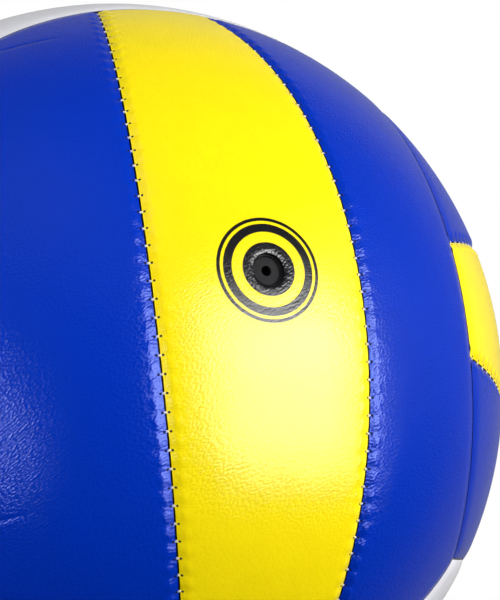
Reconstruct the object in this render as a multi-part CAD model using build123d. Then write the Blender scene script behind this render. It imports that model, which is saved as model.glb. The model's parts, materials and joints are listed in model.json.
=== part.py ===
from build123d import *
import math
import os

# An indoor volleyball, size 5. The origin is the ball's centre, +Z is up, the valve faces the front (-Y).
# All lengths are in millimetres and all angles in degrees.

# Ball and its layers, from the outside in
BALL_RADIUS = 105.0  # 66 cm round
PANEL = 3.4  # synthetic leather, foam and cloth, laminated before the panels are cut
BLADDER_WALL = 0.7
BLADDER_ROOM = 0.8  # between the bladder's corners and those of the panels round it
FIT = 0.1  # between pieces of rubber or cover that are bonded to each other

# Panels and seams
STRIP_WIDTH = 49.4  # of a centre panel across its middle, along the surface
SEAM_GAP = 0.5  # between the two edges that are sewn together
EDGE_ROLL = 1.8  # radius of the edge where a panel turns down into a seam
THREAD = 0.4  # width of the sewing thread that lies in a seam

# Valve
VALVE_RISE = 1.55  # the valve sits this far above the middle of its panel
VALVE_ASIDE = 0.6  # and this far to the right of it
NEEDLE_RADIUS = 1.15  # hole that takes an inflating needle
CORE_RADIUS = 3.25
CORE_LENGTH = 24.0
CORE_TIP = 1.5  # bevel of the core's inner end
CORE_SINK = 1.5  # depth of the core's face below the outside
CORE_CLEARANCE = 0.05  # running fit of the core in its housing
CORE_RIM = 0.4  # between the core and the edge of the leather round it
CORE_SHOWS = 3.0  # length of the core that stands out of the housing's inner end
HOUSING_WALL = 1.2
FLANGE_RADIUS = 12.0
FLANGE = 1.2
LEATHER = 1.2  # outer part of a panel, which covers the housing's neck

# How finely curved forms are drawn
RUN_COUNT = 10  # flats along a panel and the seam beside it
EDGE_RUN_COUNT = 18  # flats of the thread along the edge of a group
CROSS_COUNT = 4  # flats across a panel
ROLL_COUNT = 2  # flats round a rolled edge
SIDE_COUNT = 30  # flats round the bladder
RING_COUNT = 15  # rings of the bladder's corners
PASS_COUNT = 6  # times that the place of a panel's corner is brought closer

# The edges of the groups pass through the eight corners of a cube in the ball, on cones from its centre
CORNER = math.degrees(math.acos(1 / math.sqrt(3)))
LONG_EDGE = 90 - CORNER
STRIP_ANGLE = math.degrees(STRIP_WIDTH / 2 / BALL_RADIUS)

PANEL_INSIDE = BALL_RADIUS - PANEL
BLADDER_OUTSIDE = PANEL_INSIDE - BLADDER_ROOM
BLADDER_INSIDE = BLADDER_OUTSIDE - BLADDER_WALL
BORE_RADIUS = CORE_RADIUS + CORE_CLEARANCE
NECK_RADIUS = BORE_RADIUS + HOUSING_WALL
NECK_TOP = BALL_RADIUS - LEATHER - FIT
CORE_FACE = BALL_RADIUS - CORE_SINK
REACH = 2 * BALL_RADIUS  # length of a hole from the ball's centre to well outside it

BASE = (Align.CENTER, Align.CENTER, Align.MIN)
VALVE_DIRECTION = Vector(0, -1, 0).rotate(Axis.X, -VALVE_RISE).rotate(Axis.Z, VALVE_ASIDE)
VALVE_PLANE = Plane(origin=(0, 0, 0), z_dir=VALVE_DIRECTION)

# Each group of three panels is drawn with +X out of the ball, +Y along the panels and +Z across them,
# and is then turned to its face. The names are those of its panels at +Z, in the middle and at -Z.
GROUPS = {
    "front": (Plane(origin=(0, 0, 0), x_dir=(0, -1, 0), z_dir=(-1, 0, 0)), ("left", "centre", "right")),
    "back": (Plane(origin=(0, 0, 0), x_dir=(0, 1, 0), z_dir=(1, 0, 0)), ("right", "centre", "left")),
    "right": (Plane(origin=(0, 0, 0), x_dir=(1, 0, 0), z_dir=(0, 0, 1)), ("upper", "centre", "lower")),
    "left": (Plane(origin=(0, 0, 0), x_dir=(-1, 0, 0), z_dir=(0, 0, 1)), ("upper", "centre", "lower")),
    "top": (Plane(origin=(0, 0, 0), x_dir=(0, 0, 1), z_dir=(0, 1, 0)), ("back", "centre", "front")),
    "bottom": (Plane(origin=(0, 0, 0), x_dir=(0, 0, -1), z_dir=(0, 1, 0)), ("back", "centre", "front")),
}


def spot(radius, along, across):
    """A point of a group, at a radius and at angles along and across its panels."""
    return Vector(radius, 0, 0).rotate(Axis.Y, -across).rotate(Axis.Z, along)


def strip_seam(along):
    """The angle across the group of the seam beside its centre panel."""
    slope = math.cos(math.radians(along)) * math.tan(math.radians(STRIP_ANGLE))
    return math.degrees(math.atan(slope))


def group_end(across):
    """The angle along the group at which a panel ends."""
    return math.degrees(math.acos(math.cos(math.radians(CORNER)) / math.cos(math.radians(across))))


def closed_solid(rings):
    """A solid of flats through rings of points, closed by the first and the last ring."""
    corners = []
    for ring, following in zip(rings, rings[1:]):
        for j, point in enumerate(ring):
            corners.append((point, following[j], following[j - 1]))
            corners.append((point, following[j - 1], ring[j - 1]))
    for ring in (rings[0], rings[-1]):
        half = len(ring) // 2
        for j in range(half - 1):
            corners.append((ring[j], ring[j + 1], ring[-1 - j]))
            corners.append((ring[j + 1], ring[-2 - j], ring[-1 - j]))
    return Solid(Shell([Face(Wire.make_polygon(three)) for three in corners]))


def grid_lines(flats):
    """Share of the way, distance in and depth of each line of a panel, from one of its edges to the other."""
    turns = [math.radians(90 * i / ROLL_COUNT) for i in range(ROLL_COUNT + 1)]
    roll = [(SEAM_GAP / 2 + EDGE_ROLL * (1 - math.cos(a)), EDGE_ROLL * (1 - math.sin(a))) for a in turns]
    crown = SEAM_GAP / 2 + EDGE_ROLL
    first = [(0, run, depth) for run, depth in roll]
    middle = [(i / flats, crown * (1 - 2 * i / flats), 0) for i in range(1, flats)]
    last = [(1, -run, depth) for run, depth in reversed(roll)]
    return first + middle + last


def panel_point(sides, along_line, across_line, radius):
    """Where two grid lines of a panel cross. The sides give its two seams at an angle along the group."""
    along_share, along_run, _ = along_line
    across_share, across_run, _ = across_line
    along = 0
    for _ in range(PASS_COUNT):  # each angle depends on the other, so both are brought closer in turn
        low, high = sides(along)
        across = low + across_share * (high - low) + math.degrees(across_run / radius)
        end = group_end(across)
        girth = radius * math.cos(math.radians(across))
        along = end * (2 * along_share - 1) + math.degrees(along_run / girth)
    return spot(radius, along, across)


def panel(sides):
    """A panel of even thickness with rolled edges, between the seams that the sides give."""
    rings = []
    for along_line in grid_lines(RUN_COUNT):
        outside = []
        inside = []
        for across_line in grid_lines(CROSS_COUNT):
            radius = BALL_RADIUS - max(along_line[2], across_line[2])
            outside.append(panel_point(sides, along_line, across_line, radius))
            inside.append(panel_point(sides, along_line, across_line, PANEL_INSIDE))
        rings.append(outside + inside[::-1])
    return closed_solid(rings)


def centre_panel():
    """The panel between the two seams of a group."""
    return panel(lambda along: (-strip_seam(along), strip_seam(along)))


def side_panel():
    """The panel at +Z, between a seam and the long edge of its group."""
    return panel(lambda along: (strip_seam(along), LONG_EDGE))


def thread(seam, flats):
    """A square thread on its corner in the groove of a seam, which is given by its angle across the group."""
    middle = BALL_RADIUS - EDGE_ROLL + THREAD * math.sqrt(2)
    corner = THREAD / math.sqrt(2)
    turn = math.degrees(corner / middle)
    last = group_end(seam(group_end(0))) - math.degrees(EDGE_ROLL / BALL_RADIUS)
    rings = []
    for i in range(flats + 1):
        along = last * (2 * i / flats - 1)
        across = seam(along)
        bottom = spot(middle - corner, along, across)
        top = spot(middle + corner, along, across)
        rings.append([bottom, spot(middle, along, across - turn), top, spot(middle, along, across + turn)])
    return closed_solid(rings)


def seam_threads():
    """The threads of one group: two along the seams between its panels and two along its long edges."""
    threads = [thread(strip_seam, RUN_COUNT), thread(lambda along: LONG_EDGE, EDGE_RUN_COUNT)]
    return threads + [Rot(X=180) * one for one in threads]


def valve_hole(radius):
    """A round hole along the valve's axis, from the ball's centre to well outside it."""
    return VALVE_PLANE * Cylinder(radius, REACH, align=BASE)


def flat_ball(radius):
    """A ball of flats, in rings about the valve's axis."""
    tip = 90 - 90 / RING_COUNT
    rings = []
    for i in range(RING_COUNT):
        height = tip * (2 * i / (RING_COUNT - 1) - 1)
        rings.append([spot(radius, 360 * j / SIDE_COUNT, height) for j in range(SIDE_COUNT)])
    return closed_solid(rings)


def bladder():
    """The air bladder, with the hole that the valve's neck fills."""
    ball = flat_ball(BLADDER_OUTSIDE) - flat_ball(BLADDER_INSIDE)
    return VALVE_PLANE * ball - valve_hole(NECK_RADIUS + FIT)


def valve_housing():
    """The rubber housing: a flange under the bladder's wall and a tube round the core."""
    sag = FLANGE_RADIUS**2 / 2 / BLADDER_INSIDE
    face = BLADDER_INSIDE * math.cos(math.radians(90 / RING_COUNT)) - FIT
    foot = CORE_FACE - CORE_LENGTH + CORE_SHOWS
    outline = Polyline(
        (BORE_RADIUS, 0, foot),
        (NECK_RADIUS, 0, foot),
        (NECK_RADIUS, 0, face - FLANGE),
        (FLANGE_RADIUS, 0, face - FLANGE - sag),
        (FLANGE_RADIUS, 0, face - sag),
        (NECK_RADIUS, 0, face),
        (NECK_RADIUS, 0, NECK_TOP),
        (BORE_RADIUS, 0, NECK_TOP),
        close=True,
    )
    return VALVE_PLANE * revolve(make_face(outline), Axis.Z, 360)


def valve_core():
    """The plug in the housing, with the needle hole along it."""
    plug = Pos(0, 0, CORE_FACE - CORE_LENGTH) * Cylinder(CORE_RADIUS, CORE_LENGTH, align=BASE)
    plug = chamfer(plug.edges().sort_by(Axis.Z)[0], CORE_TIP)
    return VALVE_PLANE * (plug - Cylinder(NEEDLE_RADIUS, REACH, align=BASE))


def valve_opening():
    """What the valve takes out of its panel: the neck below the leather, and the hole over the core."""
    neck = VALVE_PLANE * Cylinder(NECK_RADIUS + FIT, NECK_TOP + FIT, align=BASE)
    return neck + valve_hole(CORE_RADIUS + CORE_RIM)


def all_nodes():
    """Every node of the ball, by name."""
    side = side_panel()
    panels = (side, centre_panel(), Rot(X=180) * side)
    threads = seam_threads()
    nodes = {}
    for group, (face, strips) in GROUPS.items():
        for strip, panel in zip(strips, panels):
            nodes[f"{group}_{strip}_panel"] = face * panel
        nodes[f"{group}_seam_thread"] = Compound([face * thread for thread in threads])
    nodes["front_centre_panel"] -= valve_opening()
    nodes["bladder"] = bladder()
    nodes["valve_housing"] = valve_housing()
    nodes["valve_core"] = valve_core()
    return nodes


def main():
    os.makedirs("parts", exist_ok=True)
    for name, shape in all_nodes().items():
        export_step(shape, os.path.join("parts", f"{name}.step"))


main()
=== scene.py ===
"""The looks of an indoor volleyball: sewn leather panels, stitches, bladder, valve and a plain studio."""

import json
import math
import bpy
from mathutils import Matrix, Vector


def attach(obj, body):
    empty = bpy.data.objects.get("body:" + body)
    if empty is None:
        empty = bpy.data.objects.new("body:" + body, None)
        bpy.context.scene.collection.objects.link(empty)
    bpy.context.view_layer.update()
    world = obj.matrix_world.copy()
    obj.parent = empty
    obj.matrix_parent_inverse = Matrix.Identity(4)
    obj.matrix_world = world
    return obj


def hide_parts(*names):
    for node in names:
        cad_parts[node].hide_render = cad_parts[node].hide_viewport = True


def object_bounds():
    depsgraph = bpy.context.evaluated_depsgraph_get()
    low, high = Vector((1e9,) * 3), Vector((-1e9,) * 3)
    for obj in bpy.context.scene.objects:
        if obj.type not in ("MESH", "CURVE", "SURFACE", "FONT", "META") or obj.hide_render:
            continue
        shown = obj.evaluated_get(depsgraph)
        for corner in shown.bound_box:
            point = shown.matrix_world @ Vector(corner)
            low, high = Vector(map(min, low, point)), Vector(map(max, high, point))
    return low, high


bl_info = {
    "name": "Volleyball",
    "version": (1, 0, 0),
    "blender": (4, 5, 0),
    "location": "3D View > Sidebar > Volleyball",
    "description": "Builds the panels, stitches, bladder and valve of a volleyball, and its studio",
    "category": "Add Mesh",
}

import bmesh
import bpy
import numpy as np
from mathutils import Matrix, Vector

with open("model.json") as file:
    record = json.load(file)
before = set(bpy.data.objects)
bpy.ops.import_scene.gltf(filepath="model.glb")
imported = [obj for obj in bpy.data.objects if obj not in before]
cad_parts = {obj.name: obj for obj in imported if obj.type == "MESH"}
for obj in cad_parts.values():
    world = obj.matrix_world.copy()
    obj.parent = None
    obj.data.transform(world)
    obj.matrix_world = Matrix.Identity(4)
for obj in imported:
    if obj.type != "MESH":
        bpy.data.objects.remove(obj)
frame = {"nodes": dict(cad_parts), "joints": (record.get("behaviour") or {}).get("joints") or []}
CAD_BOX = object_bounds()

BALL_RADIUS = CAD_BOX[1].z
VALVE_AXIS = Vector(frame["joints"][0]["axis"]).normalized()
CORE_POINTS = [v.co for v in frame["nodes"]["valve_core"].data.vertices]
CORE_RADIUS = max(point.cross(VALVE_AXIS).length for point in CORE_POINTS)
CORE_FACE = max(point.dot(VALVE_AXIS) for point in CORE_POINTS)
CORE_FOOT = min(point.dot(VALVE_AXIS) for point in CORE_POINTS)
BLADDER_RADIUS = max(v.co.length for v in frame["nodes"]["bladder"].data.vertices)

# The edges of the groups pass through the eight corners of a cube in the ball
CORNER = math.acos(1 / math.sqrt(3))
LONG_EDGE = math.pi / 2 - CORNER
QUARTER = math.pi / 4

# Each group of three panels is drawn with +X out of the ball, +Y along the panels and +Z across them.
# For each face: where +X and +Z point, and the names of its panels at +Z, in the middle and at -Z.
GROUPS = {
    "front": ((0, -1, 0), (-1, 0, 0), ("left", "centre", "right")),
    "back": ((0, 1, 0), (1, 0, 0), ("right", "centre", "left")),
    "right": ((1, 0, 0), (0, 0, 1), ("upper", "centre", "lower")),
    "left": ((-1, 0, 0), (0, 0, 1), ("upper", "centre", "lower")),
    "top": ((0, 0, 1), (0, 1, 0), ("back", "centre", "front")),
    "bottom": ((0, 0, -1), (0, 1, 0), ("back", "centre", "front")),
}
WHITE_GROUPS = ("top", "bottom")

SEAM_STITCHES = 50  # along the seam beside a centre panel
EDGE_STITCHES = 34  # along the long edge of a group
STITCH_LEAN = math.radians(14)  # most that a stitch stands askew
STITCH_BEAT = 2.4  # how the lean and the pull change from one stitch to the next

PULL_MEAN = 0.75  # how hard a stitch draws the leather in, as a share of the most
PULL_SWING = 0.25  # how much that changes between stitches
PULL_SHIFT = 1.3  # keeps the pull out of step with the lean

OUTSIDE, BACKING = 0, 1  # material slots of a panel; the backing slot is painted near black as the shade inside a seam

PANEL_COLUMNS = 12  # across the slab that a panel is made from
PANEL_ROWS = 44  # along it
PANEL_CUTS = 5  # through each of them on its top
EDGE_CROWDING = 0.75  # how much closer the mesh is at the long edges of a panel
END_CROWDING = 0.3  # and at its ends
SETTLE_ROUNDS = 8  # in which the points of a panel find their places
VALVE_REFINED = 0.008  # radius round the valve in which the panel's mesh is finer
VALVE_CUTS = 2
ROUND_SIDES = 96  # of a round piece
STITCH_SIDES = 6
STITCH_CUTS = 3
BLADDER_FINENESS = 6  # subdivisions of the bladder's triangles
FACING = 0.9  # a direction counts as along an axis when at least this much of it is
NEAR = 1e-6  # points within this distance count as in one place

PANEL_SHARP = 40  # degrees between faces beyond which an edge is shaded crisp
STITCH_SHARP = 60
VALVE_SHARP = 35

MM = 0.001


def linear(code):
    """The linear colour of an sRGB hex value."""
    shares = [int(code[i : i + 2], 16) / 255 for i in (1, 3, 5)]
    return [c / 12.92 if c <= 0.04045 else ((c + 0.055) / 1.055) ** 2.4 for c in shares] + [1.0]


def length(name, default, description):
    """A length in metres that a user may change."""
    return bpy.props.FloatProperty(
        name=name, default=default, description=description, unit="LENGTH", precision=5
    )


def colour(name, code, description):
    """A colour that a user may change."""
    return bpy.props.FloatVectorProperty(
        name=name, default=linear(code), description=description, subtype="COLOR", size=4, min=0, max=1
    )


def direction(name, default, description):
    """A place or a direction that a user may change."""
    return bpy.props.FloatVectorProperty(name=name, default=default, description=description, subtype="XYZ")


class VolleyballPanelSizes(bpy.types.PropertyGroup):
    centre_strip: length("Centre strip", 0.0494, "Width of a centre panel across its middle")
    thickness: length("Thickness", 0.0034, "Leather, foam and cloth together")
    seam_gap: length("Seam gap", 0.0004, "Between the two edges that are sewn together")
    seam_depth: length("Seam depth", 0.0007, "How far a panel sinks towards the seam beside a centre panel")
    edge_depth: length("Edge depth", 0.0004, "How far a panel sinks towards the edge of its group")
    slope_width: length("Slope width", 0.004, "How far from a seam a panel starts to sink")
    pucker: length("Pucker", 0.00018, "How far a stitch draws the edge of a panel in")
    pucker_reach: length("Pucker reach", 0.0012, "How far from the edge a pucker fades")
    bulge: length("Bulge", 0.00022, "How far the leather swells between two stitches")
    bulge_place: length("Bulge place", 0.0018, "From the edge of a panel to the middle of a bulge")
    bulge_width: length("Bulge width", 0.0009, "From the middle of a bulge to where it fades")


class VolleyballStitchSizes(bpy.types.PropertyGroup):
    thread: length("Thread", 0.00058, "Thickness of the sewing thread")
    reach: length("Reach", 0.0005, "From the middle of the seam to the end of a stitch")
    holes: length("Holes", 0.0007, "From the middle of the seam to a needle hole")
    crest: length("Crest", 0.00024, "Depth of the middle of a stitch below the leather beside it")
    foot: length("Foot", 0.0005, "Depth of the ends of a stitch below the leather beside it")
    sink: length("Sink", 0.0003, "How much deeper the stitches lie along the edges of the groups")
    needle: length("Needle hole", 0.00026, "Radius of the hole that the needle left in the leather")


class VolleyballValveSizes(bpy.types.PropertyGroup):
    rim: length("Rim", 0.00365, "Radius of the hole in the leather over the valve")
    neck: length("Neck", 0.0046, "Radius of the hole in the foam and bladder round the valve's neck")
    leather: length("Leather", 0.0012, "Thickness of the leather over the neck")
    dip: length("Dip", 0.0002, "How far the leather sinks at the rim")
    dip_reach: length("Dip reach", 0.0045, "Radius at which the leather starts to sink")
    needle: length("Needle", 0.00115, "Radius of the hole for the inflating needle")
    disc: length("Disc", 0.00608, "Radius of the printed disc")
    ring_inside: length("Ring inside", 0.00847, "Inner radius of the thick printed ring")
    ring_outside: length("Ring outside", 0.01037, "Outer radius of the thick printed ring")
    line_inside: length("Line inside", 0.01104, "Inner radius of the thin printed ring")
    line_outside: length("Line outside", 0.01181, "Outer radius of the thin printed ring")


class VolleyballFinishes(bpy.types.PropertyGroup):
    blue: colour("Blue", "#0030B4", "Blue leather")
    yellow: colour("Yellow", "#FBE208", "Yellow leather")
    white: colour("White", "#ECECF2", "White leather")
    ink: colour("Ink", "#131216", "Printed rings")
    gleam: colour("Gleam", "#FFFFFF", "Tint of the gleam of yellow and white leather")
    blue_gleam: colour("Blue gleam", "#B8C9FF", "Tint of the gleam of blue leather")
    thread: colour("Thread", "#D9D6CE", "Sewing thread")
    # Painted shade: the backing is near black so that the walls inside a seam and the needle holes show as
    # shade
    backing_painted_shade: colour("Backing", "#0C0D12", "Cloth and foam behind the leather")
    bladder: colour("Bladder", "#1B1B1D", "Bladder rubber")
    valve: colour("Valve", "#1C1B1E", "Valve rubber")


class VolleyballStudio(bpy.types.PropertyGroup):
    camera: direction("Camera", (-0.11582, -0.35185, -0.06908), "Where the camera stands")
    look: direction("Look", (0.4001, 0.88606, 0.23413), "Which way the camera looks")
    upright: direction("Upright", (0.0346, -0.26989, 0.96227), "Which way is up in the picture")
    lens: bpy.props.FloatProperty(name="Lens", default=80.16, description="Focal length in millimetres")
    floor: colour("Floor", "#F4F4F4", "Pale floor")


def select_only(obj):
    """Makes one object the selected and active one."""
    bpy.ops.object.select_all(action="DESELECT")
    obj.select_set(True)
    bpy.context.view_layer.objects.active = obj


def points_of(mesh):
    """The points of a mesh as an array."""
    points = np.empty(len(mesh.vertices) * 3)
    mesh.vertices.foreach_get("co", points)
    return points.reshape(-1, 3)


def apply_all(obj):
    """Applies every modifier of an object."""
    select_only(obj)
    for modifier in list(obj.modifiers):
        bpy.ops.object.modifier_apply(modifier=modifier.name)


def smooth(obj, degrees):
    """Shades an object smooth, with edges sharper than an angle left crisp."""
    select_only(obj)
    bpy.ops.object.shade_smooth_by_angle(angle=math.radians(degrees))


def choose(obj, kind, test):
    """In edit mode, selects only those faces or edges of an object that pass a test."""
    bpy.ops.mesh.select_mode(type=kind)
    bpy.ops.mesh.select_all(action="DESELECT")
    mesh = bmesh.from_edit_mesh(obj.data)
    for one in mesh.faces if kind == "FACE" else mesh.edges:
        one.select_set(test(one))
    bmesh.update_edit_mesh(obj.data)


def group_matrix(group):
    """Turns a group from where it is drawn to its face of the ball."""
    out, across, _ = GROUPS[group]
    along = Vector(across).cross(Vector(out))
    return Matrix((out, along, across)).transposed().to_4x4()


def valve_matrix():
    """Turns a piece drawn along +Z to the valve's axis."""
    side = Vector((0, 0, 1)).cross(VALVE_AXIS).normalized()
    return Matrix((side, VALVE_AXIS.cross(side), VALVE_AXIS)).transposed().to_4x4()


HALF_TURN = Matrix.Rotation(math.pi, 4, "X")


def strip_angle():
    """Half the angle that a centre panel spans across its middle."""
    return bpy.context.scene.volleyball_panels.centre_strip / 2 / BALL_RADIUS


def strip_seam(along):
    """The angle across the group of the seam beside its centre panel."""
    return np.arctan(np.cos(along) * math.tan(strip_angle()))


def seam_end():
    """The angle along the seam beside a centre panel at which it ends."""
    return math.acos(math.cos(CORNER) / math.cos(strip_angle()))


def group_end(across):
    """The angle along the group at which a panel ends."""
    return np.arccos(np.clip(math.cos(CORNER) / np.cos(across), -1, 1))


def on_ball(radius, along, across):
    """Points of a group at a radius and at angles along and across its panels."""
    return np.stack(
        (
            radius * np.cos(across) * np.cos(along),
            radius * np.cos(across) * np.sin(along),
            radius * np.sin(across),
        ),
        axis=-1,
    )


def crowded(share, amount):
    """Moves shares of the way towards both ends, so that lines stand closer at the edges."""
    return share - amount * np.sin(2 * math.pi * share) / (2 * math.pi)


def seam_phase(along, across):
    """Stitches counted along the seam beside a centre panel."""
    run = np.arcsin(np.clip(np.cos(across) * np.sin(along), -1, 1))
    return (run / seam_end() + 1) / 2 * SEAM_STITCHES


class PanelForm:
    """Wraps a flat slab, from -1 to 1 and with its top outside, round the ball as a centre or side panel."""

    def __init__(self, centre, valve=False):
        self.centre = centre
        self.valve = valve
        self.sizes = bpy.context.scene.volleyball_panels

    def sides(self, along):
        """The angles across the group of the panel's two long edges."""
        seam = strip_seam(along)
        return (-seam, seam) if self.centre else (seam, np.full_like(seam, LONG_EDGE))

    def wrap(self, slab):
        """Places of a slab's points on the ball, on the flat sheet and along the seams."""
        sizes = self.sizes
        share = crowded((slab[:, 0] + 1) / 2, EDGE_CROWDING)
        way = crowded((slab[:, 1] + 1) / 2, END_CROWDING)
        gap = sizes.seam_gap / 2 / BALL_RADIUS
        along = np.zeros(len(slab))
        for _ in range(SETTLE_ROUNDS):
            low, high = self.sides(along)
            width = high - low - 2 * gap
            across = low + gap + share * width
            end = group_end(across) - gap / np.cos(across)
            along = (2 * way - 1) * end
        run = 2 * end * np.cos(across) * BALL_RADIUS
        edges = [share * width * BALL_RADIUS, (1 - share) * width * BALL_RADIUS, way * run, (1 - way) * run]
        seam = seam_phase(along, across)
        depth = self.depth(edges, seam, along, across)
        outside = slab[:, 2] > 0.5
        radius = np.where(outside, BALL_RADIUS - depth, BALL_RADIUS - sizes.thickness)
        sewn = (edges[0] < edges[1]) | self.centre
        seam_run = np.stack((np.where(sewn, seam, 0), np.minimum(edges[0], edges[1])), axis=-1)
        sheet = np.stack((across * BALL_RADIUS, along * np.cos(across) * BALL_RADIUS), axis=-1)
        return on_ball(radius, along, across), sheet, seam_run

    def depth(self, edges, phase, along, across):
        """How far the leather lies below the ball's outside."""
        sizes = self.sizes
        crown = np.ones(len(along))
        shallow = sizes.edge_depth / sizes.seam_depth
        shares = (1, 1 if self.centre else shallow, shallow, shallow)
        for edge, share in zip(edges, shares):
            crown *= 1 - share * np.clip(1 - edge / sizes.slope_width, 0, 1) ** 2
        depth = sizes.seam_depth * (1 - crown)
        drawn = (0.5 - 0.5 * np.cos(2 * math.pi * phase)) ** 2
        uneven = PULL_MEAN + PULL_SWING * np.sin(STITCH_BEAT * np.floor(phase) + PULL_SHIFT)
        for edge in edges[:2] if self.centre else edges[:1]:
            depth += sizes.pucker * drawn * uneven * np.exp(-edge / sizes.pucker_reach)
            swell = np.exp(-(((edge - sizes.bulge_place) / sizes.bulge_width) ** 2))
            depth -= sizes.bulge * (1 - drawn) * swell
        if self.valve:
            depth += self.valve_dip(along, across)
        return depth

    def valve_dip(self, along, across):
        """How far the leather sinks towards the hole over the valve."""
        sizes = bpy.context.scene.volleyball_valve
        away = self.off_axis(on_ball(BALL_RADIUS, along, across))
        share = np.clip((sizes.dip_reach - away) / (sizes.dip_reach - sizes.rim), 0, 1)
        return sizes.dip * share**2

    def off_axis(self, points):
        """Distance of points of the front group from the valve's axis."""
        axis = np.array(group_matrix("front").inverted().to_3x3() @ VALVE_AXIS)
        return np.linalg.norm(np.cross(points, axis), axis=-1)


def cut_slab(name, rows, columns, cuts):
    """A flat closed slab with a fine top, like the sheet that a panel is cut from."""
    bpy.ops.object.select_all(action="DESELECT")
    bpy.ops.mesh.primitive_grid_add(x_subdivisions=columns, y_subdivisions=rows, size=2)
    obj = bpy.context.object
    obj.name = name
    bpy.ops.object.mode_set(mode="EDIT")
    bpy.ops.mesh.select_all(action="SELECT")
    bpy.ops.mesh.extrude_region_move(TRANSFORM_OT_translate={"value": (0, 0, 1)})
    bpy.ops.mesh.subdivide(number_cuts=cuts)
    bpy.ops.mesh.select_all(action="SELECT")
    bpy.ops.mesh.normals_make_consistent(inside=False)
    bpy.ops.object.mode_set(mode="OBJECT")
    return obj


def refine_round_valve(obj, form, reach, cuts):
    """Cuts the top of a slab finer where it will lie round the valve."""
    points = form.wrap(points_of(obj.data))[0]
    near = form.off_axis(points) < reach
    bpy.ops.object.mode_set(mode="EDIT")
    choose(obj, "FACE", lambda face: face.normal.z > FACING and all(near[v.index] for v in face.verts))
    bpy.ops.mesh.subdivide(number_cuts=cuts)
    bpy.ops.object.mode_set(mode="OBJECT")


def wrap_panel(obj, form):
    """Moves a slab's points on to the ball and keeps where they lay on the sheet and along the seams."""
    mesh = obj.data
    slab = points_of(mesh)
    normals = np.empty(len(mesh.polygons) * 3)
    mesh.polygons.foreach_get("normal", normals)
    points, sheet, seam_run = form.wrap(slab)
    mesh.vertices.foreach_set("co", points.ravel())
    corners = np.empty(len(mesh.loops), dtype=int)
    mesh.loops.foreach_get("vertex_index", corners)
    while mesh.uv_layers:
        mesh.uv_layers.remove(mesh.uv_layers[0])
    for name, places in (("sheet", sheet), ("seam_run", seam_run)):
        mesh.uv_layers.new(name=name).data.foreach_set("uv", places[corners].ravel())
    slots = np.where(normals.reshape(-1, 3)[:, 2] > FACING, OUTSIDE, BACKING)
    mesh.polygons.foreach_set("material_index", slots.astype(np.int32))
    mesh.update()
    return obj


def valve_cutter():
    """A stepped plug, wide below the leather and narrow through it, drawn along +Z."""
    sizes = bpy.context.scene.volleyball_valve
    step = BALL_RADIUS - sizes.leather
    half = BALL_RADIUS / 2
    bpy.ops.object.select_all(action="DESELECT")
    bpy.ops.mesh.primitive_cylinder_add(
        vertices=ROUND_SIDES, radius=sizes.neck, depth=step - half, location=(0, 0, (step + half) / 2)
    )
    cutter = bpy.context.object
    bpy.ops.object.mode_set(mode="EDIT")
    choose(cutter, "FACE", lambda face: face.normal.z > FACING)
    bpy.ops.mesh.inset(thickness=sizes.neck - sizes.rim)
    bpy.ops.mesh.extrude_region_move(TRANSFORM_OT_translate={"value": (0, 0, half)})
    bpy.ops.object.mode_set(mode="OBJECT")
    select_only(cutter)
    bpy.ops.object.transform_apply(location=True, rotation=True, scale=True)
    cutter.data.transform(valve_matrix())
    return cutter


def cut_valve_hole(obj):
    """Cuts the hole for the valve."""
    cutter = valve_cutter()
    hole = obj.modifiers.new("valve hole", "BOOLEAN")
    hole.operation = "DIFFERENCE"
    hole.solver = "EXACT"
    hole.object = cutter
    apply_all(obj)
    bpy.data.objects.remove(cutter)


def add(tree, kind, inputs=None, **settings):
    """Adds a node with its settings, and gives each input a value or a link."""
    made = tree.nodes.new(kind)
    for name, value in settings.items():
        setattr(made, name, value)
    for name, value in (inputs or {}).items():
        if isinstance(value, bpy.types.NodeSocket):
            tree.links.new(value, made.inputs[name])
        else:
            made.inputs[name].default_value = value
    return made


def new_material(name):
    """A material with an empty node tree and its output."""
    made = bpy.data.materials.new(name)
    made.use_nodes = True
    made.node_tree.nodes.clear()
    return made, made.node_tree, made.node_tree.nodes.new("ShaderNodeOutputMaterial")


GRAIN_WIDTH = 0.00042  # of a cell of the grain that is pressed into the coat
GRAIN_LENGTH = 0.0009
GRAIN_LEAN = math.radians(57)  # between the cells' long way and the length of the panel
GRAIN_BEND = 0.003  # how far apart the grain changes its direction
GRAIN_SWAY = 0.4  # how far it is bent, in cells
GRAIN_RELIEF = 0.00008
FINE_GRAIN_RELIEF = 0.00004  # of the yellow and the white leather, which are smoother
GRAIN_SMOOTHNESS = 0.25
GRAIN_RANDOMNESS = 0.95
GROOVE_PAINTED_SHADE = 0.04  # painted shade: how much darker the grooves between the cells are painted
PORE = 0.00025  # fine roughness on top of the cells
PORE_RELIEF = 0.000008
WAVE = 0.011  # slow unevenness of the sheet over its foam
WAVE_RELIEF = 0.00015
WRINKLES = 40  # round the hole over the valve, where the leather is drawn in
WRINKLE_LENGTH = 0.0011
WRINKLE_RELIEF = 0.00018
WRINKLE_REACH = 0.0022  # how far from the hole they fade
COAT_ROUGHNESS = 0.22
COAT_IOR = 1.5
MOTTLE = 0.006  # patches in the coating, seen as a faint unevenness of the colour
MOTTLE_DETAIL = 5.0
MOTTLE_ROUGHNESS = 0.75
MOTTLE_DARKEST = 0.96
NOISE_LOW = 0.3  # nearly all values of a noise lie between these two
NOISE_HIGH = 0.7
HOLE_FLOOR = 0.8  # share of a needle hole's radius that is painted dark all over, as the hole's shade
HOLE_BRINK = 1.3  # share of it at which the painted shade has faded
INK_RAGGED = 0.00012  # how far the edge of the ink wanders
INK_BLUR = 0.00004  # how far it is blurred to each side


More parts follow.
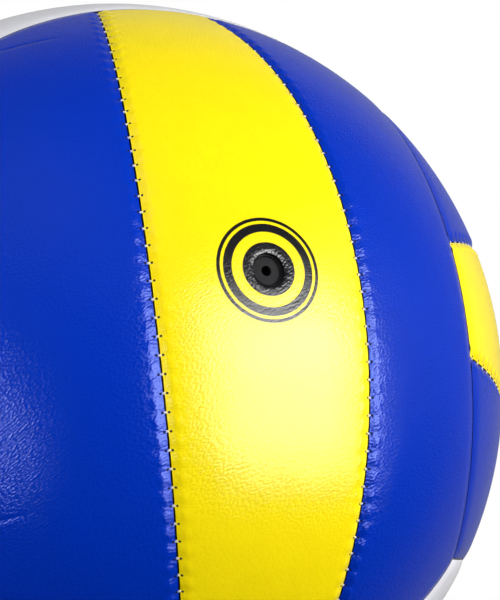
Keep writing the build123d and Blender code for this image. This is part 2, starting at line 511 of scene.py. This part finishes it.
def needle_hole_painted_shade(tree):
    """How much painted shade lies on the leather at the needle holes along the seams beside a centre panel,
    from 0 to 1.
    """
    panels = bpy.context.scene.volleyball_panels
    stitches = bpy.context.scene.volleyball_stitches
    run = add(tree, "ShaderNodeUVMap", uv_map="seam_run")
    parts = add(tree, "ShaderNodeSeparateXYZ", {0: run.outputs["UV"]})
    pitch = seam_end() * 2 * BALL_RADIUS / SEAM_STITCHES
    beat = add(tree, "ShaderNodeMath", {0: parts.outputs["X"]}, operation="FRACT")
    off = add(
        tree, "ShaderNodeMath", {0: beat.outputs[0], 1: pitch, 2: -pitch / 2}, operation="MULTIPLY_ADD"
    )
    place = stitches.holes - panels.seam_gap / 2
    out = add(tree, "ShaderNodeMath", {0: parts.outputs["Y"], 1: place}, operation="SUBTRACT")
    spot = add(tree, "ShaderNodeCombineXYZ", {"X": off.outputs[0], "Y": out.outputs[0]})
    away = add(tree, "ShaderNodeVectorMath", {0: spot.outputs[0]}, operation="LENGTH")
    return add(
        tree,
        "ShaderNodeMapRange",
        {
            "Value": away.outputs["Value"],
            "From Min": stitches.needle * HOLE_FLOOR,
            "From Max": stitches.needle * HOLE_BRINK,
            "To Min": 1.0,
            "To Max": 0.0,
        },
    ).outputs[0]


def off_valve_axis(tree, place):
    """A vector square to the valve's axis and to the way from it, as long as the distance from it."""
    off = add(tree, "ShaderNodeVectorMath", {0: place, 1: VALVE_AXIS}, operation="CROSS_PRODUCT")
    return off.outputs[0]


def valve_wrinkles(tree, place):
    """Height of the radial wrinkles round the hole over the valve, in metres."""
    sizes = bpy.context.scene.volleyball_valve
    off = off_valve_axis(tree, place)
    away = add(tree, "ShaderNodeVectorMath", {0: off}, operation="LENGTH").outputs["Value"]
    spoke = add(tree, "ShaderNodeVectorMath", {0: off}, operation="NORMALIZE").outputs[0]
    scale = WRINKLES / (2 * math.pi)
    along = add(tree, "ShaderNodeMath", {0: away, 1: WRINKLE_LENGTH * scale}, operation="DIVIDE")
    folds = add(
        tree,
        "ShaderNodeTexNoise",
        {"Vector": spoke, "W": along.outputs[0], "Scale": scale, "Detail": 1.0},
        noise_dimensions="4D",
    )
    mean = (NOISE_LOW + NOISE_HIGH) / 2
    level = add(tree, "ShaderNodeMath", {0: folds.outputs["Fac"], 1: mean}, operation="SUBTRACT")
    drawn = add(
        tree,
        "ShaderNodeMapRange",
        {
            "Value": away,
            "From Min": sizes.rim,
            "From Max": sizes.rim + WRINKLE_REACH,
            "To Min": WRINKLE_RELIEF,
            "To Max": 0.0,
        },
    )
    height = add(tree, "ShaderNodeMath", {0: level.outputs[0], 1: drawn.outputs[0]}, operation="MULTIPLY")
    return height.outputs[0]


def grain_height(tree, place, relief):
    """The leather's height in metres, from cells, pores and slow waves, and how deep its grooves are."""
    sheet = add(tree, "ShaderNodeUVMap", uv_map="sheet").outputs["UV"]
    turned = add(
        tree, "ShaderNodeMapping", {"Vector": sheet, "Rotation": (0, 0, GRAIN_LEAN)}, vector_type="TEXTURE"
    )
    even = add(
        tree,
        "ShaderNodeVectorMath",
        {0: turned.outputs[0], 1: (1 / GRAIN_WIDTH, 1 / GRAIN_LENGTH, 0)},
        operation="MULTIPLY",
    )
    bend = add(tree, "ShaderNodeTexNoise", {"Vector": place, "Scale": 1 / GRAIN_BEND, "Detail": 1.0})
    bent = add(
        tree,
        "ShaderNodeVectorMath",
        {0: bend.outputs["Color"], 1: (GRAIN_SWAY, GRAIN_SWAY, 0), 2: even.outputs[0]},
        operation="MULTIPLY_ADD",
    )
    cells = add(
        tree,
        "ShaderNodeTexVoronoi",
        {
            "Vector": bent.outputs[0],
            "Scale": 1.0,
            "Smoothness": GRAIN_SMOOTHNESS,
            "Randomness": GRAIN_RANDOMNESS,
        },
        voronoi_dimensions="2D",
        feature="SMOOTH_F1",
    )
    height = add(tree, "ShaderNodeMath", {0: cells.outputs["Distance"], 1: -relief}, operation="MULTIPLY")
    for size, rise in ((PORE, PORE_RELIEF), (WAVE, WAVE_RELIEF)):
        uneven = add(tree, "ShaderNodeTexNoise", {"Vector": place, "Scale": 1 / size, "Detail": 1.0})
        height = add(
            tree,
            "ShaderNodeMath",
            {0: uneven.outputs["Fac"], 1: rise, 2: height.outputs[0]},
            operation="MULTIPLY_ADD",
        )
    return height.outputs[0], cells.outputs["Distance"]


# Folds in the leather beside the valve's strip, on its left: two points of the ball in millimetres that
# each runs between, its depth and its half width
CREASES = (
    ((-57.2, -59.5, 64.7), (-27.0, -72.9, 70.6), 0.3, 0.55),
    ((-41.3, -82.1, 50.8), (-32.8, -84.2, 53.5), 0.05, 0.4),
    ((-56.5, -75.5, 46.5), (-38.5, -86.0, 46.2), 0.05, 0.35),
    ((-65.0, -70.5, -42.2), (-49.0, -83.3, -41.0), 0.12, 0.5),
)


def crease_height(tree, place, first, last, deep, wide):
    """Height of one fold in the leather, in metres."""
    ends = [Vector(end).normalized() * BALL_RADIUS for end in (first, last)]
    side = ends[0].cross(ends[1]).normalized()
    run = (ends[1] - ends[0]).normalized()
    middle = (ends[0] + ends[1]).dot(run) / 2
    half = (ends[1] - ends[0]).length / 2
    floor = -deep * MM
    away = add(tree, "ShaderNodeVectorMath", {0: place, 1: side / (wide * MM)}, operation="DOT_PRODUCT")
    off = away.outputs["Value"]
    square = add(tree, "ShaderNodeMath", {0: off, 1: off}, operation="MULTIPLY")
    bell = add(tree, "ShaderNodeMath", {0: 1 / math.e, 1: square.outputs[0]}, operation="POWER")
    along = add(tree, "ShaderNodeVectorMath", {0: place, 1: run}, operation="DOT_PRODUCT")
    beyond = add(tree, "ShaderNodeMath", {0: along.outputs["Value"], 1: middle}, operation="SUBTRACT")
    far = add(tree, "ShaderNodeMath", {0: beyond.outputs[0]}, operation="ABSOLUTE")
    fade = add(
        tree,
        "ShaderNodeMapRange",
        {"Value": far.outputs[0], "From Min": half / 2, "From Max": half, "To Min": floor, "To Max": 0.0},
        interpolation_type="SMOOTHSTEP",
    )
    height = add(tree, "ShaderNodeMath", {0: bell.outputs[0], 1: fade.outputs[0]}, operation="MULTIPLY")
    return height.outputs[0]


def ring_print(tree, place):
    """How much ink lies round the valve, from 0 to 1."""
    sizes = bpy.context.scene.volleyball_valve
    away = add(tree, "ShaderNodeVectorMath", {0: off_valve_axis(tree, place)}, operation="LENGTH")
    ragged = add(tree, "ShaderNodeTexNoise", {"Vector": place, "Scale": 1 / PORE, "Detail": 2.0})
    wander = add(
        tree,
        "ShaderNodeMath",
        {0: ragged.outputs["Fac"], 1: INK_RAGGED, 2: away.outputs["Value"]},
        operation="MULTIPLY_ADD",
    )
    ink = None
    for inside, outside in (
        (-sizes.disc, sizes.disc),
        (sizes.ring_inside, sizes.ring_outside),
        (sizes.line_inside, sizes.line_outside),
    ):
        middle = (inside + outside) / 2
        half = (outside - inside) / 2
        band = add(tree, "ShaderNodeMath", {0: wander.outputs[0], 1: middle}, operation="SUBTRACT")
        off = add(tree, "ShaderNodeMath", {0: band.outputs[0]}, operation="ABSOLUTE")
        mask = add(
            tree,
            "ShaderNodeMapRange",
            {
                "Value": off.outputs[0],
                "From Min": half - INK_BLUR,
                "From Max": half + INK_BLUR,
                "To Min": 1.0,
                "To Max": 0.0,
            },
        ).outputs[0]
        if ink is not None:
            mask = add(tree, "ShaderNodeMath", {0: ink, 1: mask}, operation="MAXIMUM").outputs[0]
        ink = mask
    return ink


def leather(name, base, gleam, relief, printed=False, creases=()):
    """Synthetic leather: a lacquered coat pressed with a grain, which breaks a lamp's gleam into flecks,
    with painted shade in the grooves of the grain and at the needle holes.
    """
    finishes = bpy.context.scene.volleyball_finishes
    made, tree, output = new_material(name)
    place = add(tree, "ShaderNodeTexCoord").outputs["Object"]
    height, groove = grain_height(tree, place, relief)
    for crease in creases:
        fold = crease_height(tree, place, *crease)
        height = add(tree, "ShaderNodeMath", {0: height, 1: fold}, operation="ADD").outputs[0]
    mottle = add(
        tree,
        "ShaderNodeTexNoise",
        {"Vector": place, "Scale": 1 / MOTTLE, "Detail": MOTTLE_DETAIL, "Roughness": MOTTLE_ROUGHNESS},
    )
    shade = add(
        tree,
        "ShaderNodeMapRange",
        {
            "Value": mottle.outputs["Fac"],
            "From Min": NOISE_LOW,
            "From Max": NOISE_HIGH,
            "To Min": MOTTLE_DARKEST,
        },
    )
    # Painted shade: the grooves between the grain's cells are painted darker, on top of the mottle's random
    # tone.
    dark = add(
        tree, "ShaderNodeMath", {0: groove, 1: -GROOVE_PAINTED_SHADE, 2: shade.outputs[0]}, operation="MULTIPLY_ADD"
    )
    face = add(
        tree, "ShaderNodeVectorMath", {0: tuple(base)[:3], "Scale": dark.outputs[0]}, operation="SCALE"
    ).outputs[0]
    if printed:
        ink = ring_print(tree, place)
        face = add(
            tree, "ShaderNodeMix", {0: ink, 6: face, 7: tuple(finishes.ink)}, data_type="RGBA"
        ).outputs[2]
        wrinkles = valve_wrinkles(tree, place)
        height = add(tree, "ShaderNodeMath", {0: height, 1: wrinkles}, operation="ADD").outputs[0]
    # Painted shade: the needle holes are painted with the near-black backing colour and made fully rough.
    holes = needle_hole_painted_shade(tree)
    face_with_painted_hole_shade = add(tree, "ShaderNodeMix", {0: holes, 6: face, 7: tuple(finishes.backing_painted_shade)}, data_type="RGBA")
    rough = add(tree, "ShaderNodeMapRange", {"Value": holes, "To Min": COAT_ROUGHNESS, "To Max": 1.0})
    bump = add(tree, "ShaderNodeBump", {"Height": height, "Strength": 1.0, "Distance": 1.0})
    shader = add(
        tree,
        "ShaderNodeBsdfPrincipled",
        {
            "Base Color": face_with_painted_hole_shade.outputs[2],
            "Roughness": rough.outputs[0],
            "IOR": COAT_IOR,
            "Specular Tint": tuple(gleam),
            "Normal": bump.outputs[0],
        },
    )
    tree.links.new(shader.outputs[0], output.inputs["Surface"])
    return made


def gritty(name, base, coat, grit, detail, hollow_shade_darkest, strength, relief):
    """A finish with the values of its coat, whose height varies with a fine grit and whose colour is painted
    darker in the grit's hollows as shade.
    """
    made, tree, output = new_material(name)
    place = add(tree, "ShaderNodeTexCoord").outputs["Object"]
    noise = add(tree, "ShaderNodeTexNoise", {"Vector": place, "Scale": 1 / grit, "Detail": detail})
    height = noise.outputs["Fac"]
    # Painted shade: the colour is darker where the grit's height is lower.
    shade = add(
        tree,
        "ShaderNodeMapRange",
        {"Value": height, "From Min": NOISE_LOW, "From Max": NOISE_HIGH, "To Min": hollow_shade_darkest},
    )
    toned_with_hollow_shade = add(
        tree, "ShaderNodeVectorMath", {0: tuple(base)[:3], "Scale": shade.outputs[0]}, operation="SCALE"
    )
    bump = add(tree, "ShaderNodeBump", {"Height": height, "Strength": strength, "Distance": relief})
    shader = add(
        tree,
        "ShaderNodeBsdfPrincipled",
        {"Base Color": toned_with_hollow_shade.outputs[0], "Normal": bump.outputs[0], **coat},
    )
    tree.links.new(shader.outputs[0], output.inputs["Surface"])
    return made


def rubber(name, base, rough):
    """Moulded rubber: dull, with a faint pebble from its mould and painted shade in the pebble's hollows."""
    coat = {"Roughness": rough, "IOR": 1.52}
    return gritty(name, base, coat, grit=0.0003, detail=3.0, hollow_shade_darkest=0.88, strength=0.6, relief=0.00002)


def backing_cloth_painted_shade(name, base):
    """The knitted cloth and foam behind the leather, painted near black as the shade in a seam, and painted
    darker in the knit's hollows as shade.
    """
    coat = {"Roughness": 0.9}
    return gritty(name, base, coat, grit=0.0004, detail=1.0, hollow_shade_darkest=0.7, strength=0.8, relief=0.0001)


def sewing_thread(name, base):
    """Twisted polyester thread: bright, with the shadow of its plies."""
    coat = {"Roughness": 0.55, "Sheen Weight": 0.3}
    return gritty(name, base, coat, grit=0.00025, detail=1.0, hollow_shade_darkest=0.75, strength=0.7, relief=0.00008)


class VOLLEYBALL_OT_panels(bpy.types.Operator):
    """Wraps the eighteen leather panels round the ball"""

    bl_idname = "volleyball.panels"
    bl_label = "Leather panels"

    def execute(self, context):
        finishes = context.scene.volleyball_finishes
        backing_painted_shade = backing_cloth_painted_shade("backing_cloth_painted_seam_shade", finishes.backing_painted_shade)
        blue = (finishes.blue, finishes.blue_gleam, GRAIN_RELIEF)
        yellow = (finishes.yellow, finishes.gleam, FINE_GRAIN_RELIEF)
        white = (finishes.white, finishes.gleam, FINE_GRAIN_RELIEF)
        leathers = {
            "blue_leather": leather("blue_synthetic_leather", *blue),
            "yellow_leather": leather("yellow_synthetic_leather", *yellow),
            "white_leather": leather("white_synthetic_leather", *white),
        }
        special = {
            "front_centre_panel": leather("printed_yellow_leather", *yellow, printed=True),
            "front_left_panel": leather("creased_blue_leather", *blue, creases=CREASES),
        }
        slab = cut_slab("centre_pattern", PANEL_ROWS, PANEL_COLUMNS, PANEL_CUTS)
        centre_form = PanelForm(centre=True)
        valve_form = PanelForm(centre=True, valve=True)
        side_form = PanelForm(centre=False)
        valve_slab = slab.copy()
        valve_slab.data = slab.data.copy()
        side = slab.copy()
        side.data = slab.data.copy()
        for one in (valve_slab, side):
            context.collection.objects.link(one)
        centre = wrap_panel(slab, centre_form)
        side = wrap_panel(side, side_form)
        select_only(valve_slab)
        refine_round_valve(valve_slab, valve_form, VALVE_REFINED, VALVE_CUTS)
        wrap_panel(valve_slab, valve_form)
        for group, (_, _, strips) in GROUPS.items():
            face = group_matrix(group)
            for strip, source, turn in zip(strips, (side, centre, side), (Matrix(), Matrix(), HALF_TURN)):
                name = f"{group}_{strip}_panel"
                over_valve = name == "front_centre_panel"
                slot = "white_leather" if group in WHITE_GROUPS else "yellow_leather"
                if strip != "centre" and group not in WHITE_GROUPS:
                    slot = "blue_leather"
                mesh = (valve_slab if over_valve else source).data.copy()
                mesh.transform(face @ turn)
                piece = bpy.data.objects.new(f"{group}_{strip}_leather", mesh)
                context.collection.objects.link(piece)
                mesh.materials.append(special.get(name, leathers[slot]))
                mesh.materials.append(backing_painted_shade)
                if over_valve:
                    cut_valve_hole(piece)
                smooth(piece, PANEL_SHARP)
                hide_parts(name)
                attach(piece, "ball")
        for pattern in (centre, side, valve_slab):
            bpy.data.objects.remove(pattern)
        return {"FINISHED"}


def stitch_pattern():
    """One stitch across a seam: X along the seam, Y across it, Z up, with the leather beside it at zero."""
    sizes = bpy.context.scene.volleyball_stitches
    bpy.ops.object.select_all(action="DESELECT")
    bpy.ops.mesh.primitive_cylinder_add(
        vertices=STITCH_SIDES, radius=sizes.thread / 2, depth=2, end_fill_type="NGON"
    )
    obj = bpy.context.object
    bpy.ops.object.mode_set(mode="EDIT")
    choose(obj, "EDGE", lambda edge: abs((edge.verts[0].co - edge.verts[1].co).normalized().z) > FACING)
    bpy.ops.mesh.subdivide(number_cuts=STITCH_CUTS)
    bpy.ops.object.mode_set(mode="OBJECT")
    points = points_of(obj.data)
    way = points[:, 2].copy()
    sag = sizes.crest + (sizes.foot - sizes.crest) * way**2
    slope = -2 * way * (sizes.foot - sizes.crest) / sizes.reach
    level = 1 / np.sqrt(1 + slope**2)
    placed = np.stack(
        (
            points[:, 0],
            way * sizes.reach - points[:, 1] * slope * level,
            points[:, 1] * level - sag,
        ),
        axis=-1,
    )
    obj.data.vertices.foreach_set("co", placed.ravel())
    obj.data.update()
    return obj


def seam_frames(count, line, sink):
    """Frames at the stitches of a seam, sunk below a line that gives a point for a share of the way."""
    frames = []
    step = 1e-4
    for i in range(count):
        share = (i + 0.5) / count
        point, before, after = (Vector(line(s)) for s in (share, share - step, share + step))
        up = point.normalized()
        ahead = (after - before).normalized()
        over = up.cross(ahead)
        turn = Matrix((ahead, over, up)).transposed().to_4x4()
        askew = Matrix.Rotation(STITCH_LEAN * math.sin(STITCH_BEAT * i), 4, "Z")
        frames.append(Matrix.Translation(point - up * sink) @ turn @ askew)
    return frames


def seam_line(share):
    """The seam beside a centre panel."""
    run = (2 * share - 1) * seam_end()
    tilt = strip_angle()
    return (
        BALL_RADIUS * math.cos(run) * math.cos(tilt),
        BALL_RADIUS * math.sin(run),
        BALL_RADIUS * math.cos(run) * math.sin(tilt),
    )


def edge_line(share):
    """The long edge of a group."""
    return tuple(on_ball(BALL_RADIUS, (2 * share - 1) * QUARTER, LONG_EDGE))


class VOLLEYBALL_OT_stitches(bpy.types.Operator):
    """Sews the seams of the six groups"""

    bl_idname = "volleyball.stitches"
    bl_label = "Seam stitches"

    def execute(self, context):
        finish = sewing_thread("twisted_polyester_thread", context.scene.volleyball_finishes.thread)
        pattern = stitch_pattern()
        panels = context.scene.volleyball_panels
        edge_sink = panels.edge_depth + context.scene.volleyball_stitches.sink
        frames = seam_frames(SEAM_STITCHES, seam_line, panels.seam_depth)
        frames += seam_frames(EDGE_STITCHES, edge_line, edge_sink)
        frames += [HALF_TURN @ one for one in frames]
        sewn = bmesh.new()
        for one in frames:
            mesh = pattern.data.copy()
            mesh.transform(one)
            sewn.from_mesh(mesh)
            bpy.data.meshes.remove(mesh)
        bpy.data.objects.remove(pattern)
        for group in GROUPS:
            mesh = bpy.data.meshes.new(f"{group}_stitches")
            sewn.to_mesh(mesh)
            mesh.transform(group_matrix(group))
            piece = bpy.data.objects.new(f"{group}_stitches", mesh)
            context.collection.objects.link(piece)
            mesh.materials.append(finish)
            smooth(piece, STITCH_SHARP)
            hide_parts(f"{group}_seam_thread")
            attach(piece, "ball")
        sewn.free()
        return {"FINISHED"}


BLADDER_WALL = 0.0007  # thickness of its rubber
BLADDER_ROUGHNESS = 0.6


class VOLLEYBALL_OT_bladder(bpy.types.Operator):
    """Blows up the rubber bladder inside the panels"""

    bl_idname = "volleyball.bladder"
    bl_label = "Bladder"

    def execute(self, context):
        bpy.ops.object.select_all(action="DESELECT")
        bpy.ops.mesh.primitive_ico_sphere_add(subdivisions=BLADDER_FINENESS, radius=BLADDER_RADIUS)
        piece = context.object
        piece.name = "air_bladder"
        wall = piece.modifiers.new("wall", "SOLIDIFY")
        wall.thickness = BLADDER_WALL
        wall.offset = -1
        apply_all(piece)
        cut_valve_hole(piece)
        smooth(piece, PANEL_SHARP)
        finishes = context.scene.volleyball_finishes
        piece.data.materials.append(rubber("butyl_bladder_rubber", finishes.bladder, BLADDER_ROUGHNESS))
        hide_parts("bladder")
        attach(piece, "ball")
        return {"FINISHED"}


VALVE_ROUGHNESS = 0.8
# How far each rim of the plug is rounded, and in how many steps
FACE_RIM = (0.0003, 4)
NEEDLE_RIM = (0.00012, 3)
FOOT_RIM = (0.0015, 1)


class VOLLEYBALL_OT_valve(bpy.types.Operator):
    """Moulds the valve's plug and finishes its housing"""

    bl_idname = "volleyball.valve"
    bl_label = "Valve"

    def execute(self, context):
        sizes = context.scene.volleyball_valve
        finishes = context.scene.volleyball_finishes
        finish = rubber("moulded_valve_rubber", finishes.valve, VALVE_ROUGHNESS)
        housing = frame["nodes"]["valve_housing"]
        housing.data.materials.clear()
        housing.data.materials.append(finish)
        bpy.ops.object.select_all(action="DESELECT")
        bpy.ops.mesh.primitive_cylinder_add(
            vertices=ROUND_SIDES,
            radius=CORE_RADIUS,
            depth=CORE_FACE - CORE_FOOT,
            location=(0, 0, (CORE_FACE + CORE_FOOT) / 2),
        )
        piece = context.object
        piece.name = "valve_plug"
        bpy.ops.object.transform_apply(location=True, rotation=True, scale=True)
        bpy.ops.object.mode_set(mode="EDIT")
        choose(piece, "FACE", lambda face: abs(face.normal.z) > FACING)
        bpy.ops.mesh.inset(thickness=CORE_RADIUS - sizes.needle, use_individual=True)
        bpy.ops.mesh.bridge_edge_loops()
        self.round_rim(piece, CORE_FACE, CORE_RADIUS, *FACE_RIM)
        self.round_rim(piece, CORE_FACE, sizes.needle, *NEEDLE_RIM)
        self.round_rim(piece, CORE_FOOT, CORE_RADIUS, *FOOT_RIM)
        bpy.ops.object.mode_set(mode="OBJECT")
        piece.data.transform(valve_matrix())
        smooth(piece, VALVE_SHARP)
        piece.data.materials.append(finish)
        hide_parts("valve_core")
        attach(piece, "valve")
        return {"FINISHED"}

    def round_rim(self, piece, height, radius, size, steps):
        """Rounds the rim at a height and a radius."""

        def on_rim(point):
            return abs(point.z - height) < NEAR and abs(math.hypot(point.x, point.y) - radius) < NEAR

        choose(piece, "EDGE", lambda edge: all(on_rim(v.co) for v in edge.verts))
        bpy.ops.mesh.bevel(offset=size, segments=steps, affect="EDGES")


SENSOR = 36  # millimetres across
CLIP_START = 0.01
FLOOR_RADIUS = 8.0
SHADOW_REACH = 0.12  # from the ball's middle to where the floor starts to fade to white
WHITE_REACH = 0.8  # and to where it is white
ROOM_FRONT = 0.02  # how bright the room is on the camera's side
ROOM_BACK = 0.33  # and on the other side of the ball
BACK_FROM = 0.3  # part of a direction along the camera's view at which the other side starts
BACK_FULL = 0.8  # and at which it is at its brightest
CEILING = 0.08  # how bright the room is overhead
CEILING_FULL = 0.8  # upward part of a direction at which it is at its brightest
LAMP_POWER = 4  # watts that a lamp of one square metre needs for a radiance of 1

# Softboxes: which way each stands from the ball by the camera's right, up and back, how far off, its
# width and height, its radiance, and whether the leather mirrors it
LAMPS = {
    "right softbox": ((0.755, 0.05, 0.654), 1.0, (0.72, 0.72), 11.0, True),
    "left softbox": ((-0.704, 0.0, 0.704), 1.0, (0.6, 0.36), 8.4, True),
    "right fill": ((0.95, 0.25, 0.1), 1.2, (0.8, 0.8), 3.2, False),
    "top fill": ((-0.3, 0.78, 0.55), 1.2, (1.0, 0.6), 1.9, False),
    "back fill": ((0.0, 0.45, -0.89), 1.2, (1.6, 0.9), 2.2, False),
}


class VOLLEYBALL_OT_stage(bpy.types.Operator):
    """Sets the floor, the lamps, the world and the camera"""

    bl_idname = "volleyball.stage"
    bl_label = "Studio"

    def execute(self, context):
        studio = context.scene.volleyball_studio
        ahead = Vector(studio.look).normalized()
        aside = ahead.cross(Vector(studio.upright)).normalized()
        upright = aside.cross(ahead)
        turn = Matrix((aside, upright, -ahead)).transposed().to_4x4()
        camera = bpy.data.objects.new("camera", bpy.data.cameras.new("camera"))
        context.collection.objects.link(camera)
        camera.matrix_world = Matrix.Translation(Vector(studio.camera)) @ turn
        camera.data.lens = studio.lens
        camera.data.sensor_width = SENSOR
        camera.data.clip_start = CLIP_START
        context.scene.camera = camera
        for name, lamp in LAMPS.items():
            self.lamp(context, name, turn, *lamp)
        self.floor(context, studio)
        self.world(context, ahead)
        context.scene.view_settings.view_transform = "Standard"
        return {"FINISHED"}

    def lamp(self, context, name, turn, way, far, size, radiance, mirrored):
        """A rectangular softbox that faces the ball."""
        light = bpy.data.lights.new(name, "AREA")
        light.shape = "RECTANGLE"
        light.size, light.size_y = size
        light.energy = LAMP_POWER * radiance * size[0] * size[1]
        lamp = bpy.data.objects.new(name, light)
        context.collection.objects.link(lamp)
        back = (turn.to_3x3() @ Vector(way)).normalized()
        side = (turn.to_3x3() @ Vector((0, 1, 0))).cross(back).normalized()
        facing = Matrix((side, back.cross(side), back)).transposed().to_4x4()
        lamp.matrix_world = Matrix.Translation(back * far) @ facing
        lamp.visible_camera = False
        lamp.visible_glossy = mirrored

    def floor(self, context, studio):
        """A pale floor that keeps the ball's shadow, fades to white away from it and is clear from below."""
        bpy.ops.object.select_all(action="DESELECT")
        bpy.ops.mesh.primitive_circle_add(
            vertices=ROUND_SIDES, radius=FLOOR_RADIUS, fill_type="TRIFAN", location=(0, 0, CAD_BOX[0].z)
        )
        floor = context.object
        floor.name = "floor"
        bpy.ops.object.transform_apply(location=True, rotation=True, scale=True)
        made, tree, output = new_material("pale_studio_floor")
        place = add(tree, "ShaderNodeTexCoord").outputs["Object"]
        away = add(tree, "ShaderNodeVectorMath", {0: place}, operation="LENGTH")
        fade = add(
            tree,
            "ShaderNodeMapRange",
            {"Value": away.outputs["Value"], "From Min": SHADOW_REACH, "From Max": WHITE_REACH},
        )
        viewed = add(tree, "ShaderNodeLightPath").outputs["Is Camera Ray"]
        seen = add(tree, "ShaderNodeMath", {0: fade.outputs[0], 1: viewed}, operation="MULTIPLY")
        paint = add(tree, "ShaderNodeBsdfDiffuse", {"Color": tuple(studio.floor)})
        white = add(tree, "ShaderNodeEmission", {"Strength": 1.0})
        both = add(
            tree, "ShaderNodeMixShader", {0: seen.outputs[0], 1: paint.outputs[0], 2: white.outputs[0]}
        )
        below = add(tree, "ShaderNodeNewGeometry").outputs["Backfacing"]
        clear = add(tree, "ShaderNodeBsdfTransparent")
        faced = add(tree, "ShaderNodeMixShader", {0: below, 1: both.outputs[0], 2: clear.outputs[0]})
        tree.links.new(faced.outputs[0], output.inputs["Surface"])
        floor.data.materials.append(made)
        floor.visible_glossy = False
        floor.visible_diffuse = False

    def world(self, context, ahead):
        """White for the camera, and a dim room, brighter behind the ball, for reflections and soft light."""
        world = bpy.data.worlds.new("studio")
        world.use_nodes = True
        tree = world.node_tree
        tree.nodes.clear()
        output = tree.nodes.new("ShaderNodeOutputWorld")
        way = add(tree, "ShaderNodeTexCoord").outputs["Generated"]
        facing = add(tree, "ShaderNodeVectorMath", {0: way, 1: ahead}, operation="DOT_PRODUCT")
        sweep = add(
            tree,
            "ShaderNodeMapRange",
            {
                "Value": facing.outputs["Value"],
                "From Min": BACK_FROM,
                "From Max": BACK_FULL,
                "To Min": ROOM_FRONT,
                "To Max": ROOM_BACK,
            },
        )
        parts = add(tree, "ShaderNodeSeparateXYZ", {0: way})
        ceiling = add(
            tree,
            "ShaderNodeMapRange",
            {"Value": parts.outputs["Z"], "From Max": CEILING_FULL, "To Max": CEILING},
        )
        room = add(tree, "ShaderNodeMath", {0: sweep.outputs[0], 1: ceiling.outputs[0]}, operation="MAXIMUM")
        viewed = add(tree, "ShaderNodeLightPath").outputs["Is Camera Ray"]
        seen = add(tree, "ShaderNodeMath", {0: viewed, 1: room.outputs[0]}, operation="MAXIMUM")
        sky = add(tree, "ShaderNodeBackground", {"Color": (1, 1, 1, 1), "Strength": seen.outputs[0]})
        tree.links.new(sky.outputs[0], output.inputs["Surface"])
        context.scene.world = world


class VOLLEYBALL_PT_sidebar(bpy.types.Panel):
    """Lists the pieces of the volleyball and their sizes"""

    bl_idname = "VOLLEYBALL_PT_sidebar"
    bl_label = "Volleyball"
    bl_space_type = "VIEW_3D"
    bl_region_type = "UI"
    bl_category = "Volleyball"

    def draw(self, context):
        for operator in OPERATORS:
            self.layout.operator(operator.bl_idname)
        for name, group in GROUPS_OF_SIZES.items():
            column = self.layout.column(align=True)
            for size in group.__annotations__:
                column.prop(getattr(context.scene, name), size)


OPERATORS = (
    VOLLEYBALL_OT_panels,
    VOLLEYBALL_OT_stitches,
    VOLLEYBALL_OT_bladder,
    VOLLEYBALL_OT_valve,
    VOLLEYBALL_OT_stage,
)
GROUPS_OF_SIZES = {
    "volleyball_panels": VolleyballPanelSizes,
    "volleyball_stitches": VolleyballStitchSizes,
    "volleyball_valve": VolleyballValveSizes,
    "volleyball_finishes": VolleyballFinishes,
    "volleyball_studio": VolleyballStudio,
}


def register():
    for one in (*GROUPS_OF_SIZES.values(), *OPERATORS, VOLLEYBALL_PT_sidebar):
        bpy.utils.register_class(one)
    for name, group in GROUPS_OF_SIZES.items():
        setattr(bpy.types.Scene, name, bpy.props.PointerProperty(type=group))


def unregister():
    for name in GROUPS_OF_SIZES:
        delattr(bpy.types.Scene, name)
    for one in (VOLLEYBALL_PT_sidebar, *reversed(OPERATORS), *reversed(GROUPS_OF_SIZES.values())):
        bpy.utils.unregister_class(one)


def main():
    register()
    bpy.ops.volleyball.panels()
    bpy.ops.volleyball.stitches()
    bpy.ops.volleyball.bladder()
    bpy.ops.volleyball.valve()
    bpy.ops.volleyball.stage()


if __name__ == "__main__":
    main()
